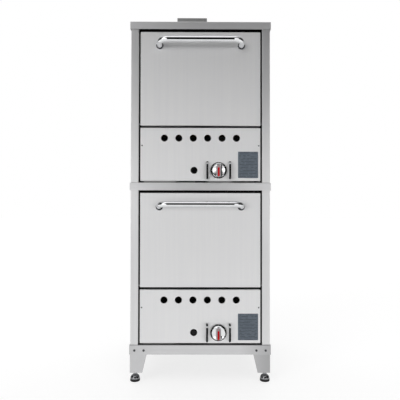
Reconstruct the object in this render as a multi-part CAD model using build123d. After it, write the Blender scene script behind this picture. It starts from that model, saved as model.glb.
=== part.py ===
from build123d import *
import os

# A double gas deck pizza oven: two equal ovens stacked on a low stand.
# Sizes are in millimetres. While a piece is drawn, x runs to the right from the middle, y runs back
# from the posts' front face, and z runs up from the floor, or from its own oven's underside.

# Casing of one oven
body_width = 787.0
body_depth = 800.0
section_height = 914.0
casing_sheet = 1.5
bend_radius = 3.0
round_over = 0.6
post_width = 45.0
panel_strip_depth = 21.0
panel_strip_width = 25.0
top_flange_width = 25.0
rear_flange_width = 15.0
overhang = 5.0
cap_height = 43.0
pan_flange_height = 25.0
sheet_clearance = 0.3
hole_clearance = 0.5
cut_past = 1.0
join_overlap = 1.0

# Stand, legs and feet
stand_height = 207.0
rail_height = 52.0
rail_gauge = 4.0
rail_flange_width = 40.0
leg_gauge = 3.0
leg_top_width = 94.5
leg_bottom_width = 70.5
leg_bottom_height = 52.0
leg_bolt_inset = 25.5
leg_bolt_pitch = 52.0
leg_bolt_drop = 29.0
foot_inset = 26.5
foot_plate_size = 62.0
foot_plate_gauge = 4.0
bush_radius = 17.0
bush_height = 25.0
foot_radius = 27.5
pad_edge_radius = 1.5
foot_pad_height = 13.0
foot_wall_height = 5.0
foot_neck_radius = 11.5
foot_dome_height = 19.0
dome_fullness = 0.64
foot_stem_radius = 10.5
foot_stem_length = 82.0
thread_clearance = 0.08

# Bolts through the stand, the stacked casings and the legs
bolt_radius = 4.0
bolt_head_radius = 6.5
bolt_head_height = 3.5
nut_radius = 7.5
nut_height = 5.5
thread_end = 1.0
corner_bolt_side_inset = 12.0
corner_bolt_front_inset = 60.0

# Control panel
side_gap = 8.5
panel_bottom_gap = 10.0
panel_height = 301.5
panel_flange_depth = 20.0
door_panel_gap = 12.5
vent_radius = 20.0
vent_count = 6
vent_pitch = 81.5
vent_drop = 58.5
control_height = 60.5
dial_offset = 103.0
button_offset = -36.0
button_hole_radius = 20.0
stem_hole_radius = 5.5
panel_screw_inset = 10.0
panel_screw_drop = 101.0
panel_tab_width = 14.0
panel_tab_height = 36.0
panel_screw_radius = 2.0
panel_screw_head_radius = 4.5
panel_screw_head_height = 2.5
index_mark_radius = 2.5
index_mark_rise = 57.0
panel_rest_spans = ((-319.0, -138.0), (42.0, 178.0))
panel_rest_depths = {"lower": 16.0, "upper": 5.0}

# Data plate, left blank
plate_width = 114.0
plate_height = 149.0
plate_edge_gap = 13.0
plate_rise = 17.5
plate_gauge = 1.0
plate_corner = 3.0

# Dial, pointer and the two guards beside it
dial_radius = 46.0
dial_panel_gap = 3.0
dial_rim_depth = 5.0
dial_face_radius = 37.0
dial_face_depth = 7.0
dial_dish_depth = 4.5
dial_lip_width = 2.0
dial_grip_width = 26.0
dial_grip_length = 70.0
dial_grip_drop = 3.0
dial_grip_depth = 10.0
grip_edge_radius = 2.0
pointer_width = 10.0
pointer_length = 50.0
pointer_proud = 1.0
pointer_end_gap = 3.0
pointer_inset = 2.0
dial_stem_radius = 4.0
dial_stem_clearance = 0.05
guard_offset = 64.0
guard_radius = 6.0
guard_height = 102.0
guard_reach = 30.0
guard_bend_radius = 12.0
guard_tail = 6.0
guard_hole_clearance = 0.1

# Valve button
button_radius = 17.0
button_recess = 2.0
button_cap_depth = 6.0
button_edge_radius = 5.0
button_end_clearance = 2.0
button_travel = 8.0
button_stem_radius = 6.0
button_bore_clearance = 0.05

# Door
door_top_drop = 57.0
door_thickness = 46.0
door_gap = 3.0
door_plug_depth = 12.0
door_plug_margin = 12.0
hinge_inset = 10.0
hinge_rise = 10.0
hinge_pin_radius = 4.0
hinge_clearance = 0.05
hinge_boss_radius = 8.0
hinge_boss_length = 5.0
hinge_plate_gauge = 5.0
hinge_plate_height = 54.0
hinge_plate_inset = 4.0
lever_gauge = 5.0
lever_reach = 60.0
lever_width = 12.0
lever_gap = 1.0
spring_radius = 7.0
spring_length = 170.0
spring_bracket_gauge = 6.0

# Handle
handle_radius = 16.0
handle_wall = 2.0
handle_spacing = 463.0
handle_drop = 79.0
handle_reach = 66.0
handle_rise = 14.0
handle_bend_radius = 45.0
handle_flange_radius = 20.5
handle_flange_thickness = 4.0
handle_flange_clearance = 0.2
handle_plug_length = 14.0

# Face frame and baking chamber
mouth_side_margin = 88.5
mouth_bottom_rise = 22.0
mouth_top_drop = 67.0
frame_bottom_drop = 13.0
hinge_pocket_height = 107.0
chamber_side_margin = 6.0
chamber_rear_space = 108.0
hearth_thickness = 25.0
hearth_front_gap = 9.5
hearth_rear_gap = 20.5
hearth_drop = 10.0
rail_leg = 30.0
rail_thickness = 3.0

# Burner compartment
baffle_drop = 65.0
baffle_gauge = 2.0
baffle_side_gap = 11.0
baffle_front_gap = 30.0
baffle_rear_gap = 20.0
burner_height = 175.0
burner_radius = 25.0
burner_wall = 1.5
burner_front_gap = 40.0
burner_rear_gap = 50.0
burner_port_radius = 2.0
burner_port_count = 18
burner_port_margin = 37.0
burner_port_angle = 35.0
burner_saddle_width = 60.0
burner_saddle_gauge = 3.0
burner_saddle_inset = 60.0
pilot_radius = 3.0
pilot_offset = -45.0
pilot_depth = 110.0
pilot_head_radius = 6.0
pilot_head_height = 20.0

# Thermostat, safety valve and gas pipes
thermostat_width = 60.0
thermostat_height = 60.0
control_front = 6.0
control_back = 48.0
bulb_tube_radius = 1.2
bulb_radius = 3.5
bulb_length = 100.0
bulb_wall_gap = 3.5
bulb_depth = 70.0
bulb_drop = 150.0
bulb_tube_height = 250.0
bulb_tube_bend = 10.0
valve_width = 56.0
valve_height = 56.0
valve_front = 18.0
valve_bore_depth = 26.0
gas_pipe_radius = 10.65
gas_pipe_bore = 8.0
gas_pipe_depth = 34.0
gas_pipe_inset = 41.5
gas_bend_radius = 25.0
gas_fitting_radius = 17.5
gas_fitting_reach = 28.0
gas_nipple_radius = 13.35
gas_nipple_bore = 10.45
gas_nipple_length = 40.0
thin_pipe_radius = 8.5
thin_pipe_bore = 6.0
thin_pipe_bend = 15.0

# Insulation, flue duct and flue riser
batt_front = 85.0
batt_bottom_rise = 7.0
batt_top_drop = 34.0
rear_batt_clearance = 3.0
duct_offset = -57.5
duct_width = 140.0
duct_depth = 50.0
duct_window_drop = 75.0
duct_window_height = 60.0
duct_window_margin = 10.0
duct_floor_drop = 15.0
duct_entry = 20.0
riser_width = 213.0
riser_depth = 100.0
riser_rear_gap = 40.0
riser_height = 306.0
riser_flange = 15.0

# Places worked out from the sizes above
half_width = body_width / 2
wall_face = half_width - casing_sheet
lip_face = half_width - post_width
lip_back = lip_face + casing_sheet
front_edge = -overhang
rear_edge = body_depth + overhang
side_edge = half_width + overhang
rear_panel_back = body_depth - casing_sheet
rear_panel_front = rear_panel_back - casing_sheet
cap_underside = section_height - casing_sheet
panel_half_width = lip_face - side_gap
plate_offset = panel_half_width - plate_edge_gap - plate_width / 2
panel_top = panel_bottom_gap + panel_height
control_line = panel_bottom_gap + control_height
door_bottom = panel_top + door_panel_gap
door_top = section_height - door_top_drop
hinge_height = door_bottom + hinge_rise
frame_front = door_thickness + door_gap
frame_back = frame_front + casing_sheet
mouth_bottom = door_bottom + mouth_bottom_rise
mouth_top = door_top - mouth_top_drop
mouth_half_width = half_width - mouth_side_margin
chamber_half_width = mouth_half_width + chamber_side_margin
liner_outside = chamber_half_width + casing_sheet
liner_back = rear_panel_back - chamber_rear_space
liner_rear_face = liner_back + casing_sheet
hearth_bottom = mouth_bottom - hearth_drop
hearth_front = frame_back + hearth_front_gap
hearth_back = liner_back - hearth_rear_gap
deck_pitch = (mouth_top - hearth_bottom) / 2
baffle_height = hearth_bottom - baffle_drop
burner_front = frame_back + burner_front_gap
burner_length = liner_back - burner_rear_gap - burner_front
bulb_height = mouth_top - bulb_drop
batt_bottom = door_bottom + batt_bottom_rise
batt_top = section_height - batt_top_drop
handle_height = door_top - handle_drop
corner_bolt_x = half_width - corner_bolt_side_inset
corner_bolt_depths = (corner_bolt_front_inset, body_depth - corner_bolt_front_inset)
leg_corner_x = side_edge - rail_gauge
leg_corner_y = front_edge + rail_gauge
foot_x = leg_corner_x - foot_inset
foot_y = leg_corner_y + foot_inset
foot_height = foot_pad_height + foot_wall_height + foot_dome_height
leg_bolt_height = stand_height - leg_bolt_drop
lower_base = stand_height
upper_base = stand_height + section_height
oven_top = upper_base + section_height
duct_front = liner_rear_face
duct_window_bottom = mouth_top - duct_window_drop
duct_bottom = duct_window_bottom - duct_floor_drop
riser_front = body_depth - riser_rear_gap - riser_depth
gas_pipe_offset = half_width - gas_pipe_inset
gas_tee_depth = rear_panel_back - gas_fitting_reach
gas_nipple_end = rear_panel_back + gas_nipple_length
handle_front = handle_reach + handle_radius

# The finished object is moved so that its bounding box is centred front to back on the origin
centring_shift = (handle_front - gas_nipple_end) / 2

# Turns a shape that was drawn along z so that it runs along the named axis
turns = {"x": Rot(0, 90, 0), "y": Rot(-90, 0, 0), "z": Rot(0, 0, 0)}

os.makedirs("parts", exist_ok=True)


def block(x_from, x_to, y_from, y_to, z_from, z_to):
    """A box between two opposite corners."""
    middle = ((x_from + x_to) / 2, (y_from + y_to) / 2, (z_from + z_to) / 2)
    return Pos(*middle) * Box(x_to - x_from, y_to - y_from, z_to - z_from)


def round_bar(axis, start, length, radius):
    """A round bar that runs from a start point along the x, y or z axis."""
    return Pos(*start) * turns[axis] * Pos(0, 0, length / 2) * Cylinder(radius, length)


def round_tube(axis, start, length, radius, bore):
    """A straight round tube that runs from a start point along the x, y or z axis."""
    return round_bar(axis, start, length, radius) - round_bar(axis, start, length, bore)


def nut_and_thread(start):
    """A hexagon nut behind a start point, and the end of the thread that stands out of it."""
    nut = Pos(*start) * turns["y"] * extrude(RegularPolygon(nut_radius, 6), nut_height)
    return nut + round_bar("y", start, nut_height + thread_end, bolt_radius)


def tube_along(points, bend, radius, bore=0.0):
    """A round tube or rod along straight runs joined by bends."""
    path = FilletPolyline(*points, radius=bend)
    ring = Circle(radius)
    if bore:
        ring = ring - Circle(bore)
    return sweep(Plane(origin=path @ 0, z_dir=path % 0) * ring, path=path)


def upright_sheet(points, z_from, z_to):
    """A sheet with upright bends, drawn as the centre line of its plan."""
    centre_line = FilletPolyline(*points, radius=bend_radius - casing_sheet / 2)
    plan = trace(centre_line, casing_sheet)
    return Pos(0, 0, z_from) * extrude(plan, z_to - z_from)


def round_all_but(body, open_axis):
    """Rounds every edge of a box but those of the face furthest along an axis."""
    open_face = body.faces().sort_by(open_axis)[-1]
    open_edges = open_face.edges()
    return fillet([edge for edge in body.edges() if edge not in open_edges], bend_radius)


def both_sides(piece):
    """A piece and its mirror image about the middle plane."""
    return [piece, mirror(piece, about=Plane.YZ)]


def save(name, *pieces):
    """Writes one named sub-part, which may hold several separate solids."""
    solids = [solid for piece in pieces for solid in piece.solids()]
    export_step(Pos(0, centring_shift, 0) * Compound(solids), f"parts/{name}.step")


def corner_bolt_places():
    """Plan positions of the four bolts that hold a casing to what it stands on."""
    return [(side * corner_bolt_x, depth) for side in (-1, 1) for depth in corner_bolt_depths]


def corner_bolt_holes(z_from, z_to):
    """Cutters for the four corner bolts through a horizontal sheet."""
    radius = bolt_radius + hole_clearance
    return [round_bar("z", (x, y, z_from), z_to - z_from, radius) for x, y in corner_bolt_places()]


def duct_hole(z_from, z_to):
    """Cutter for the flue duct through a horizontal sheet."""
    half = duct_width / 2 + hole_clearance
    return block(duct_offset - half, duct_offset + half, duct_front - hole_clearance,
                 duct_front + duct_depth + hole_clearance, z_from, z_to)


def gas_riser_hole(z_from, z_to):
    """Cutter for the upright gas pipe through a horizontal sheet."""
    start = (gas_pipe_offset, gas_tee_depth, z_from)
    return round_bar("z", start, z_to - z_from, gas_pipe_radius + hole_clearance)


# Casing sheets of one oven
def right_side_panel():
    """Outer wall with the front post, its lip behind the door gap, and the top and rear flanges."""
    half_sheet = casing_sheet / 2
    wall_line = wall_face + half_sheet
    plan = [(lip_face + half_sheet, frame_front), (lip_face + half_sheet, half_sheet),
            (wall_line, half_sheet), (wall_line, body_depth - half_sheet),
            (half_width - rear_flange_width, body_depth - half_sheet)]
    panel = upright_sheet(plan, casing_sheet, cap_underside)
    strip_back = panel_strip_depth + casing_sheet
    panel -= block(lip_face - cut_past, lip_back + cut_past, strip_back, frame_front + cut_past,
                   0, panel_top)
    strip_edge = lip_face - panel_strip_width
    panel += block(strip_edge, lip_back, panel_strip_depth, strip_back, casing_sheet, panel_top)
    panel += block(half_width - top_flange_width, wall_line, bend_radius, body_depth - bend_radius,
                   cap_underside - casing_sheet, cap_underside)
    tab_middle = panel_top - panel_screw_drop
    tab_low, tab_high = tab_middle - panel_tab_height / 2, tab_middle + panel_tab_height / 2
    panel += block(strip_edge, strip_edge + casing_sheet, casing_sheet, strip_back, tab_low, tab_high)
    panel += block(strip_edge, strip_edge + panel_tab_width, casing_sheet, 2 * casing_sheet,
                   tab_low, tab_high)
    boss_start = (lip_back - casing_sheet / 2, hinge_inset, hinge_height)
    panel += round_bar("x", boss_start, hinge_boss_length + casing_sheet / 2, hinge_boss_radius)
    bracket_top = hinge_height - lever_width / 2 - spring_length
    spring_y = hinge_inset + lever_reach
    panel += block(lip_back + lever_gap, wall_line, spring_y - spring_radius, spring_y + spring_radius,
                   bracket_top - spring_bracket_gauge, bracket_top)
    pin_bore = hinge_pin_radius + hinge_clearance
    bore_start = (lip_face - cut_past, hinge_inset, hinge_height)
    panel -= round_bar("x", bore_start, casing_sheet + hinge_boss_length + 2 * cut_past, pin_bore)
    screw_x = panel_half_width - panel_screw_inset
    panel -= round_bar("y", (screw_x, 0, tab_middle), 2 * casing_sheet + cut_past,
                       panel_screw_radius + thread_clearance)
    return panel - corner_bolt_holes(cap_underside - 2 * casing_sheet, cap_underside + cut_past)


def rear_panel(has_nipple):
    """Back sheet between the side panels' rear flanges, with the gas inlet's hole where it needs one."""
    edge = half_width - bend_radius
    sheet = block(-edge, edge, rear_panel_front, rear_panel_back, casing_sheet, cap_underside)
    if has_nipple:
        start = (gas_pipe_offset, rear_panel_front - cut_past, control_line)
        sheet -= round_bar("y", start, casing_sheet + 2 * cut_past, gas_fitting_radius + hole_clearance)
    return sheet


def top_cap(is_stacked_on):
    """Shallow lid whose skirt overhangs the casing on every side."""
    outer = block(-side_edge, side_edge, front_edge, rear_edge, section_height - cap_height, section_height)
    cap = round_all_but(outer, Axis((0, 0, 0), (0, 0, -1)))
    cap -= block(-side_edge + casing_sheet, side_edge - casing_sheet, front_edge + casing_sheet,
                 rear_edge - casing_sheet, section_height - cap_height, cap_underside)
    low, high = cap_underside - cut_past, section_height + cut_past
    cap -= duct_hole(low, high)
    if is_stacked_on:
        cap -= [gas_riser_hole(low, high), *corner_bolt_holes(low, high)]
    return cap


def base_pan(is_stacked, rest_depth):
    """Floor sheet with upturned flanges and the two tabs that the control panel rests on."""
    pan = block(-half_width, half_width, 0, body_depth, 0, casing_sheet)
    flange_top = casing_sheet + pan_flange_height
    side_flange = block(wall_face - casing_sheet, wall_face, corner_bolt_front_inset,
                        body_depth - corner_bolt_front_inset, 0, flange_top)
    pan += both_sides(side_flange)
    pan += block(-corner_bolt_x, corner_bolt_x, rear_panel_front - casing_sheet, rear_panel_front,
                 0, flange_top)
    for x_from, x_to in panel_rest_spans:
        pan += block(x_from, x_to, rest_depth, rest_depth + casing_sheet, 0, panel_bottom_gap)
    low, high = -cut_past, casing_sheet + cut_past
    pan -= corner_bolt_holes(low, high)
    if is_stacked:
        pan -= [duct_hole(low, high), gas_riser_hole(low, high)]
    return pan


def face_frame():
    """Sheet behind the door with the baking mouth, notched beside the hinge levers."""
    edge = wall_face - sheet_clearance
    frame = block(-edge, edge, frame_front, frame_back, panel_top - frame_bottom_drop,
                  cap_underside - casing_sheet)
    front, back = frame_front - cut_past, frame_back + cut_past
    frame -= block(-mouth_half_width, mouth_half_width, front, back, mouth_bottom, mouth_top)
    pocket = block(lip_back, edge + cut_past, front, back, panel_top - frame_bottom_drop - cut_past,
                   hinge_height + hinge_pocket_height)
    return frame - both_sides(pocket)


def oven_liner():
    """Four steel sheets round the baking chamber and the burner compartment below it."""
    side = block(chamber_half_width, liner_outside, frame_back, liner_back, casing_sheet, mouth_top)
    bulb_hole_start = (chamber_half_width - cut_past, bulb_depth, bulb_height)
    right = side - round_bar("x", bulb_hole_start, casing_sheet + 2 * cut_past,
                             bulb_tube_radius + hole_clearance)
    left = mirror(side, about=Plane.YZ)
    top = block(-liner_outside, liner_outside, frame_back, liner_rear_face,
                mouth_top, mouth_top + casing_sheet)
    back = block(-liner_outside, liner_outside, liner_back, liner_rear_face, casing_sheet, mouth_top)
    back -= flue_window(liner_back - cut_past, liner_rear_face + cut_past)
    return [left, right, top, back]


def flue_window(y_from, y_to):
    """Cutter for the window from the chamber into the flue duct."""
    half = duct_width / 2 - duct_window_margin
    return block(duct_offset - half, duct_offset + half, y_from, y_to,
                 duct_window_bottom, duct_window_bottom + duct_window_height)


# What stands inside one oven
def support_heights():
    """Undersides of the heat baffle and the two hearths."""
    return [baffle_height, hearth_bottom, hearth_bottom + deck_pitch]


def hearth_rails():
    """Angle rails on the liner's sides, one pair for each level."""
    rails = []
    for level in support_heights():
        ledge = block(chamber_half_width - rail_leg, chamber_half_width, hearth_front, hearth_back,
                      level - rail_thickness, level)
        web = block(chamber_half_width - rail_thickness, chamber_half_width, hearth_front, hearth_back,
                    level - rail_leg, level)
        rails += both_sides(ledge + web)
    return rails


def hearths():
    """Two stone baking decks."""
    return [block(-mouth_half_width, mouth_half_width, hearth_front, hearth_back,
                  level, level + hearth_thickness) for level in support_heights()[1:]]


def heat_baffle():
    """Flat plate that spreads the burner's heat below the lower hearth."""
    half = chamber_half_width - baffle_side_gap
    return block(-half, half, hearth_front + baffle_front_gap, hearth_back - baffle_rear_gap,
                 baffle_height, baffle_height + baffle_gauge)


def burner():
    """Tube burner on two saddles, with its pilot alongside."""
    front = burner_front
    outline = round_bar("y", (0, front, burner_height), burner_length, burner_radius)
    tube = outline - round_bar("y", (0, front + burner_wall, burner_height), burner_length - 2 * burner_wall,
                               burner_radius - burner_wall)
    tube -= round_bar("y", (0, front - cut_past, burner_height), burner_wall + 2 * cut_past,
                      thin_pipe_radius)
    pitch = (burner_length - 2 * burner_port_margin) / (burner_port_count - 1)
    port = round_bar("z", (0, 0, 0), 2 * burner_radius, burner_port_radius)
    for index in range(burner_port_count):
        place = Pos(0, front + burner_port_margin + index * pitch, burner_height)
        tube -= [place * Rot(0, side * burner_port_angle, 0) * port for side in (-1, 1)]
    saddles = []
    for y in (front + burner_saddle_inset, front + burner_length - burner_saddle_inset):
        plate = block(-burner_saddle_width / 2, burner_saddle_width / 2, y, y + burner_saddle_gauge,
                      casing_sheet, burner_height)
        saddles.append(plate - outline)
    pilot_top = burner_height + burner_radius / 2
    pilot = tube_along([(pilot_offset, control_back, control_line), (pilot_offset, pilot_depth, control_line),
                        (pilot_offset, pilot_depth, pilot_top)], thin_pipe_bend, pilot_radius)
    pilot += round_bar("z", (pilot_offset, pilot_depth, pilot_top), pilot_head_height, pilot_head_radius)
    pilot += block(pilot_offset, 0, pilot_depth - pilot_radius, pilot_depth + pilot_radius,
                   burner_height - pilot_radius, burner_height + pilot_radius) - outline
    return [tube, *saddles, pilot]


def thermostat_body():
    """Thermostat behind the dial, with its stem and the tube to the bulb in the chamber."""
    half = thermostat_width / 2
    body = block(dial_offset - half, dial_offset + half, control_front, control_back,
                 control_line - thermostat_height / 2, control_line + thermostat_height / 2)
    stem_length = control_front + dial_panel_gap + dial_rim_depth
    body += round_bar("y", (dial_offset, control_front - stem_length, control_line),
                      stem_length + join_overlap, dial_stem_radius)
    bulb_x = chamber_half_width - bulb_wall_gap - bulb_radius
    pocket_x = (liner_outside + lip_face) / 2
    body_top = control_line + thermostat_height / 2
    route = [(dial_offset, gas_pipe_depth, body_top - join_overlap),
             (dial_offset, gas_pipe_depth, bulb_tube_height),
             (pocket_x, gas_pipe_depth, bulb_tube_height), (pocket_x, bulb_depth, bulb_tube_height),
             (pocket_x, bulb_depth, bulb_height), (bulb_x, bulb_depth, bulb_height)]
    body += tube_along(route, bulb_tube_bend, bulb_tube_radius)
    body += round_bar("z", (bulb_x, bulb_depth, bulb_height - bulb_radius), bulb_length, bulb_radius)
    return body


def safety_valve():
    """Safety valve body with the bore that its button slides in."""
    half = valve_width / 2
    body = block(button_offset - half, button_offset + half, valve_front, control_back,
                 control_line - valve_height / 2, control_line + valve_height / 2)
    bore_start = (button_offset, valve_front - cut_past, control_line)
    return body - round_bar("y", bore_start, valve_bore_depth + cut_past,
                            button_stem_radius + button_bore_clearance)


def gas_line():
    """Thin pipes of one oven: thermostat to safety valve, and safety valve to burner."""
    link_start = button_offset + valve_width / 2
    link_end = dial_offset - thermostat_width / 2
    link = round_tube("x", (link_start, gas_pipe_depth, control_line), link_end - link_start,
                      thin_pipe_radius, thin_pipe_bore)
    valve_top = control_line + valve_height / 2
    route = [(button_offset, gas_pipe_depth, valve_top), (button_offset, gas_pipe_depth, burner_height),
             (0, gas_pipe_depth, burner_height), (0, burner_front + burner_wall, burner_height)]
    return [link, tube_along(route, thin_pipe_bend, thin_pipe_radius, thin_pipe_bore)]


def gas_run():
    """Main pipe of one oven: from its rear fitting forward, round a bend, to the thermostat."""
    bend_y = gas_pipe_depth + gas_bend_radius
    bend_x = gas_pipe_offset - gas_bend_radius
    run_back = gas_tee_depth - gas_fitting_reach
    run = round_tube("y", (gas_pipe_offset, bend_y, control_line), run_back - bend_y,
                     gas_pipe_radius, gas_pipe_bore)
    arc = CenterArc((bend_x, bend_y, control_line), gas_bend_radius, 0, -90)
    ring = Circle(gas_pipe_radius) - Circle(gas_pipe_bore)
    bend = sweep(Plane(origin=arc @ 0, z_dir=arc % 0) * ring, path=arc)
    cross_start = dial_offset + thermostat_width / 2
    cross = round_tube("x", (cross_start, gas_pipe_depth, control_line), bend_x - cross_start,
                       gas_pipe_radius, gas_pipe_bore)
    return [run, bend, cross]


def gas_riser():
    """Rear nipple, tee, upright pipe and top elbow that feed both ovens."""
    low = lower_base + control_line
    high = upper_base + control_line
    centre = (gas_pipe_offset, gas_tee_depth)
    front = gas_tee_depth - gas_fitting_reach
    tee = round_bar("y", (gas_pipe_offset, front, low), 2 * gas_fitting_reach, gas_fitting_radius)
    tee += round_bar("z", (*centre, low), gas_fitting_reach, gas_fitting_radius)
    tee -= round_bar("y", (gas_pipe_offset, front, low), 2 * gas_fitting_reach, gas_pipe_bore)
    tee -= round_bar("z", (*centre, low), gas_fitting_reach, gas_pipe_bore)
    elbow = round_bar("z", (*centre, high - gas_fitting_reach), gas_fitting_reach, gas_fitting_radius)
    elbow += round_bar("y", (gas_pipe_offset, front, high), gas_fitting_reach, gas_fitting_radius)
    elbow += Pos(*centre, high) * Sphere(gas_fitting_radius)
    elbow -= round_bar("z", (*centre, high - gas_fitting_reach), gas_fitting_reach, gas_pipe_bore)
    elbow -= round_bar("y", (gas_pipe_offset, front, high), gas_fitting_reach, gas_pipe_bore)
    nipple = round_tube("y", (gas_pipe_offset, rear_panel_back, low), gas_nipple_length,
                        gas_nipple_radius, gas_nipple_bore)
    upright = round_tube("z", (*centre, low + gas_fitting_reach), high - low - 2 * gas_fitting_reach,
                         gas_pipe_radius, gas_pipe_bore)
    return [nipple, tee, upright, elbow]


def insulation_batts():
    """Mineral wool at both sides, on top and behind the chamber, in strips round the flue duct."""
    side = block(liner_outside, wall_face - sheet_clearance, batt_front, liner_back, batt_bottom, batt_top)
    top = block(-liner_outside, liner_outside, frame_back, liner_back, mouth_top + casing_sheet, batt_top)
    back = rear_panel_front - casing_sheet
    left_edge = duct_offset - duct_width / 2 - rear_batt_clearance
    right_edge = duct_offset + duct_width / 2 + rear_batt_clearance
    left = block(-liner_outside, left_edge, liner_rear_face, back, batt_bottom, batt_top)
    right = block(right_edge, liner_outside, liner_rear_face, back, batt_bottom, batt_top)
    behind_duct = block(left_edge, right_edge, duct_front + duct_depth + rear_batt_clearance, back,
                        batt_bottom, batt_top)
    return [*both_sides(side), top, left, right, behind_duct]


# Front of one oven
def control_panel():
    """Panel tray with air holes, control holes, guard holes and the dial's index mark."""
    half = panel_half_width
    outer = block(-half, half, 0, panel_flange_depth, panel_bottom_gap, panel_top)
    panel = round_all_but(outer, Axis.Y)
    panel -= block(-half + casing_sheet, half - casing_sheet, casing_sheet, panel_flange_depth,
                   panel_bottom_gap + casing_sheet, panel_top - casing_sheet)
    screw_z = panel_top - panel_screw_drop
    first_vent = -(vent_count - 1) * vent_pitch / 2
    holes = [(first_vent + index * vent_pitch, panel_top - vent_drop, vent_radius)
             for index in range(vent_count)]
    holes.append((button_offset, control_line, button_hole_radius))
    holes.append((dial_offset, control_line, stem_hole_radius))
    foot_rise = guard_height / 2 - guard_radius
    for side in (-1, 1):
        holes.append((side * (half - panel_screw_inset), screw_z, panel_screw_radius + hole_clearance / 2))
        for end in (-1, 1):
            holes.append((dial_offset + side * guard_offset, control_line + end * foot_rise,
                          guard_radius + guard_hole_clearance))
    panel -= [round_bar("y", (x, -cut_past, z), casing_sheet + 2 * cut_past, radius)
              for x, z, radius in holes]
    mark_start = (dial_offset, -casing_sheet / 2, control_line + index_mark_rise)
    return panel + round_bar("y", mark_start, casing_sheet, index_mark_radius)


def panel_screws():
    """Two round-head screws that hold the control panel to the posts' tabs."""
    screw_x = panel_half_width - panel_screw_inset
    screw_z = panel_top - panel_screw_drop
    head = round_bar("y", (screw_x, -panel_screw_head_height, screw_z), panel_screw_head_height,
                     panel_screw_head_radius)
    head = fillet(head.edges().group_by(Axis.Y)[0], panel_screw_head_height * round_over)
    return both_sides(head + round_bar("y", (screw_x, 0, screw_z), 2 * casing_sheet, panel_screw_radius))


def dial():
    """Knob with a rim, a dished face, a rounded grip and the pointer let into the grip."""
    rim_back = -dial_panel_gap
    rim_front = rim_back - dial_rim_depth
    face_front = rim_front - dial_face_depth
    dish_radius = dial_face_radius - dial_lip_width
    dish = ThreePointArc((dish_radius, face_front), (dish_radius / 2, face_front + dial_dish_depth * 3 / 4),
                         (0, face_front + dial_dish_depth))
    profile = dish + Polyline((0, face_front + dial_dish_depth), (0, rim_back), (dial_radius, rim_back),
                              (dial_radius, rim_front), (dial_face_radius, face_front),
                              (dish_radius, face_front))
    knob = revolve(make_face(profile), axis=Axis.Y)
    grip_outline = SlotOverall(dial_grip_length, dial_grip_width, rotation=90)
    grip = extrude(Plane.XZ * grip_outline, dial_face_depth + dial_grip_depth)
    grip = Pos(0, rim_front, -dial_grip_drop) * grip
    grip = fillet(grip.edges().group_by(Axis.Y)[0], grip_edge_radius)
    knob += grip
    knob -= round_bar("y", (0, rim_back - dial_rim_depth, 0), 2 * dial_rim_depth,
                      dial_stem_radius + dial_stem_clearance)
    grip_front = face_front - dial_grip_depth
    pointer_middle = pointer_end_gap - dial_grip_drop - (dial_grip_length - pointer_length) / 2
    pointer_outline = SlotOverall(pointer_length, pointer_width, rotation=90)
    pointer = extrude(Plane.XZ * pointer_outline, pointer_inset + pointer_proud)
    pointer = Pos(0, grip_front + pointer_inset, pointer_middle) * pointer
    place = Pos(dial_offset, 0, control_line)
    return [place * (knob - pointer), place * pointer]


def dial_guards():
    """Two staple-shaped guard rods beside the dial, with their ends through the panel."""
    rise = guard_height / 2 - guard_radius
    front = guard_radius - guard_reach
    guards = []
    for side in (-1, 1):
        x = dial_offset + side * guard_offset
        route = [(x, guard_tail, control_line + rise), (x, front, control_line + rise),
                 (x, front, control_line - rise), (x, guard_tail, control_line - rise)]
        guards.append(tube_along(route, guard_bend_radius, guard_radius))
    return guards


def valve_button():
    """Push button with a rounded cap and the stem that slides in the safety valve."""
    start = (button_offset, button_recess, control_line)
    cap = round_bar("y", start, button_cap_depth, button_radius)
    cap = fillet(cap.edges().group_by(Axis.Y)[0], button_edge_radius)
    stem_end = valve_front + valve_bore_depth - button_travel - button_end_clearance
    stem_start = button_recess + button_cap_depth
    return cap + round_bar("y", (button_offset, stem_start, control_line), stem_end - stem_start,
                           button_stem_radius)


def data_plate():
    """Blank plate where the photographed oven carries its data."""
    plate = block(plate_offset - plate_width / 2, plate_offset + plate_width / 2, -plate_gauge, 0,
                  panel_bottom_gap + plate_rise, panel_bottom_gap + plate_rise + plate_height)
    return fillet(plate.edges().filter_by(Axis.Y), plate_corner)


# Door of one oven
def door_skin():
    """Outer door tray, open at the back, with holes for the hinge pins and the handle's studs."""
    half = panel_half_width
    outer = block(-half, half, 0, door_thickness, door_bottom, door_top)
    skin = round_all_but(outer, Axis.Y)
    skin -= block(-half + casing_sheet, half - casing_sheet, casing_sheet, door_thickness,
                  door_bottom + casing_sheet, door_top - casing_sheet)
    stud_hole = round_bar("y", (handle_spacing / 2, -cut_past, handle_height), casing_sheet + 2 * cut_past,
                          bolt_radius + hole_clearance)
    pin_hole = round_bar("x", (half - casing_sheet - cut_past, hinge_inset, hinge_height),
                         casing_sheet + 2 * cut_past, hinge_pin_radius + hinge_clearance)
    return skin - [*both_sides(stud_hole), *both_sides(pin_hole)]


def door_liner():
    """Inner door sheet with the raised plug that fills the mouth."""
    inner = casing_sheet + sheet_clearance
    half = panel_half_width - inner
    liner = block(-half, half, door_thickness - casing_sheet, door_thickness,
                  door_bottom + inner, door_top - inner)
    plug_half = mouth_half_width - door_plug_margin
    plug = block(-plug_half, plug_half, door_thickness - casing_sheet, door_thickness + door_plug_depth,
                 mouth_bottom + door_plug_margin, mouth_top - door_plug_margin)
    plug = fillet(plug.edges().group_by(Axis.Y)[-1], bend_radius)
    hollow = block(-plug_half + casing_sheet, plug_half - casing_sheet, door_thickness - casing_sheet,
                   door_thickness + door_plug_depth - casing_sheet,
                   mouth_bottom + door_plug_margin + casing_sheet,
                   mouth_top - door_plug_margin - casing_sheet)
    return liner + plug - hollow


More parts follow.
